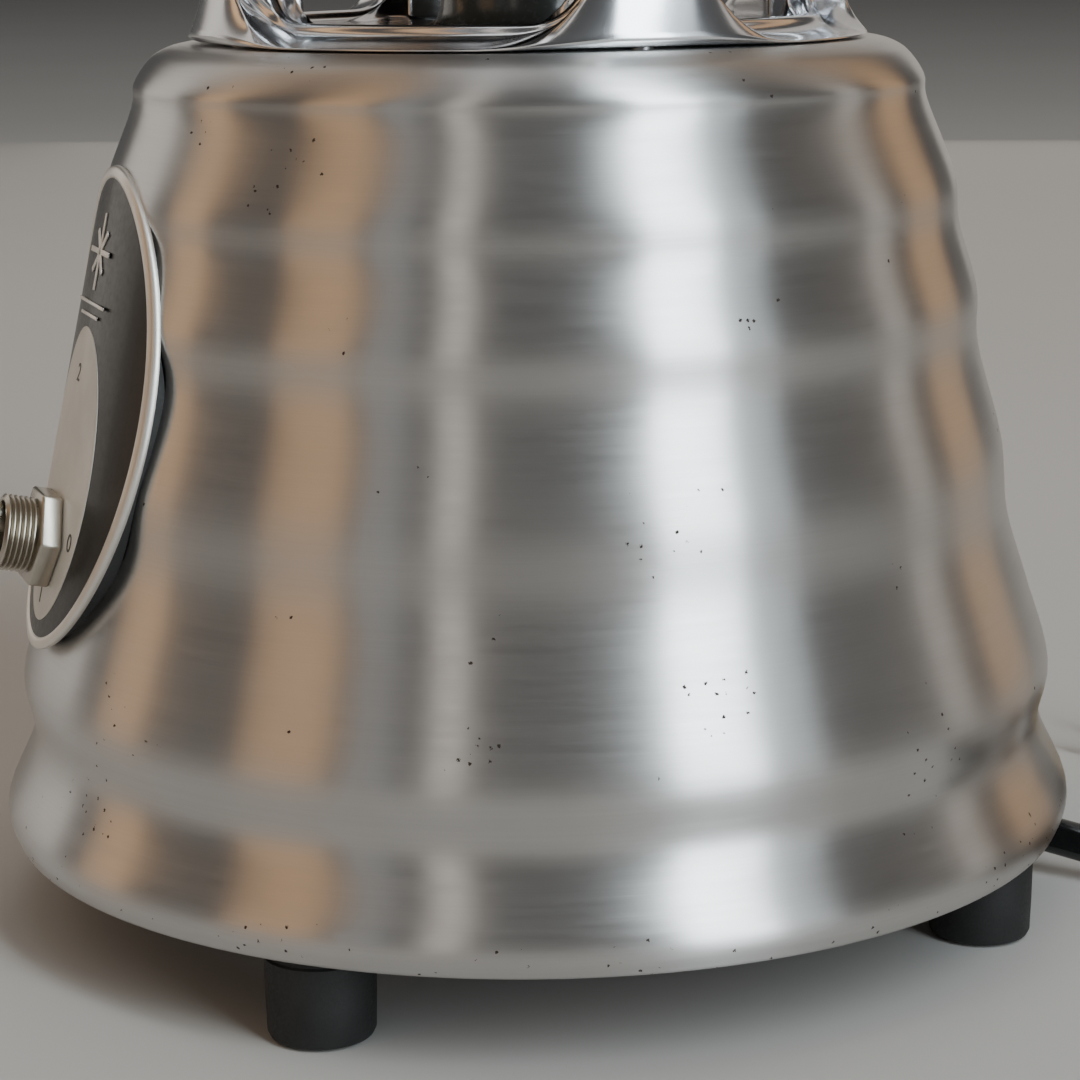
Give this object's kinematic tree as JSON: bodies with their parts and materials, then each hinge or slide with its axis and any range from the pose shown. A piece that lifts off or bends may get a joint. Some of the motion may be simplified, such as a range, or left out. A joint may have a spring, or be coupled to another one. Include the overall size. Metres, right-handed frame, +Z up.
{
  "type": "countertop blender",
  "caption": "Countertop blender with a ribbed brushed-metal motor base, chromed jar collar, toggle switch, glass jar with handle, blades, lid and cord.",
  "frame": {"origin": "on the blender's axis at the surface its feet stand on", "axes": "+Z up along the motor shaft; the toggle switch and the jar's spout face -Y; the handle and the cord's outlet are at +Y"},
  "size_m": [0.185, 0.2847, 0.3585],
  "materials": {
    "shell_steel": "stainless steel brushed in fine lines around the body",
    "badge_metal": "polished rim and oval around a glossy black enamel field",
    "black_rubber": "matte black rubber",
    "bright_chrome": "polished chromed casting",
    "fastener_steel": "plain zinc-plated or machined steel",
    "base_black": "satin black painted steel sheet",
    "bracket_aluminium": "bead-blasted die-cast aluminium",
    "core_steel": "stacked steel laminations, lacquered",
    "copper_winding": "enamelled copper wire",
    "bearing_bronze": "satin bronze and brass",
    "hub_dark": "dark fibre washer",
    "carbon": "pressed carbon",
    "switch_plastic": "dark moulded phenolic",
    "switch_nickel": "worn nickel plating",
    "nut_plastic": "glossy black moulded plastic",
    "blade_steel": "ground stainless steel",
    "clear_glass": "clear pressed glass",
    "cord_black": "glossy black moulded vinyl",
    "wire_black": "thin insulated wire"
  },
  "bodies": {
    "base": {"housing_shell": "shell_steel", "badge_plate": "badge_metal", "badge_gasket": "black_rubber", "jar_collar": "bright_chrome", "collar_screws": "fastener_steel", "base_plate": "base_black", "rubber_foot_1": "black_rubber", "rubber_foot_2": "black_rubber", "rubber_foot_3": "black_rubber", "rubber_foot_4": "black_rubber", "base_screws": "fastener_steel", "standoffs": "bracket_aluminium", "upper_motor_bracket": "bracket_aluminium", "lower_motor_bracket": "bracket_aluminium", "stator_core": "core_steel", "field_coils": "copper_winding", "motor_bolts": "fastener_steel", "upper_bearing": "bearing_bronze", "lower_bearing": "bearing_bronze", "brush_holders": "bearing_bronze", "carbon_brushes": "carbon", "brush_springs": "fastener_steel", "brush_caps": "switch_plastic", "switch_body": "switch_plastic", "switch_bushing": "switch_nickel", "switch_nut": "switch_nickel", "switch_washer": "switch_nickel", "switch_terminals": "bearing_bronze", "speed_diode": "switch_plastic", "power_cord": "cord_black", "cord_tail": "cord_black", "cord_coil": "cord_black", "cord_gland": "black_rubber", "strain_relief": "black_rubber", "plug_body": "cord_black", "plug_blades": "bearing_bronze", "supply_wires": "wire_black"},
    "rotor": {"motor_shaft": "fastener_steel", "armature_core": "core_steel", "armature_winding": "copper_winding", "commutator": "copper_winding", "cooling_fan": "bracket_aluminium", "slinger_washer": "hub_dark", "drive_stud": "fastener_steel"},
    "lever": {"toggle_lever": "switch_nickel"},
    "jar": {"glass_jar": "clear_glass", "jar_nut": "nut_plastic", "jar_gasket": "black_rubber", "blade_bearing_housing": "fastener_steel", "blade_bushing": "bearing_bronze"},
    "blades": {"blade_spindle": "fastener_steel", "drive_socket": "black_rubber", "lower_blades": "blade_steel", "upper_blades": "blade_steel", "blade_cap_nut": "fastener_steel"},
    "lid": {"jar_lid": "nut_plastic"},
    "cap": {"filler_cap": "nut_plastic"}
  },
  "joints": [
    {"name": "rotor_spin", "type": "hinge", "parent": "base", "child": "rotor", "pos_m": [0, 0, 0.09], "axis": [0, 0, 1], "continuous": true},
    {"name": "lever_tilt", "type": "hinge", "parent": "base", "child": "lever", "pos_m": [0, -0.07956, 0.06487], "axis": [1, 0, 0], "range_deg": [0, 28]},
    {"name": "jar_lift", "type": "slide", "parent": "base", "child": "jar", "axis": [0, 0, 1], "range_m": [0, 0.2]},
    {"name": "blade_spin", "type": "hinge", "parent": "jar", "child": "blades", "pos_m": [0, 0, 0.18], "axis": [0, 0, 1], "continuous": true},
    {"name": "lid_lift", "type": "slide", "parent": "jar", "child": "lid", "axis": [0, 0, 1], "range_m": [0, 0.08]},
    {"name": "cap_lift", "type": "slide", "parent": "lid", "child": "cap", "axis": [0, 0, 1], "range_m": [0, 0.06]}
  ],
  "couplings": [
    {"joint": "blade_spin", "follows": "rotor_spin", "ratio": 1}
  ]
}
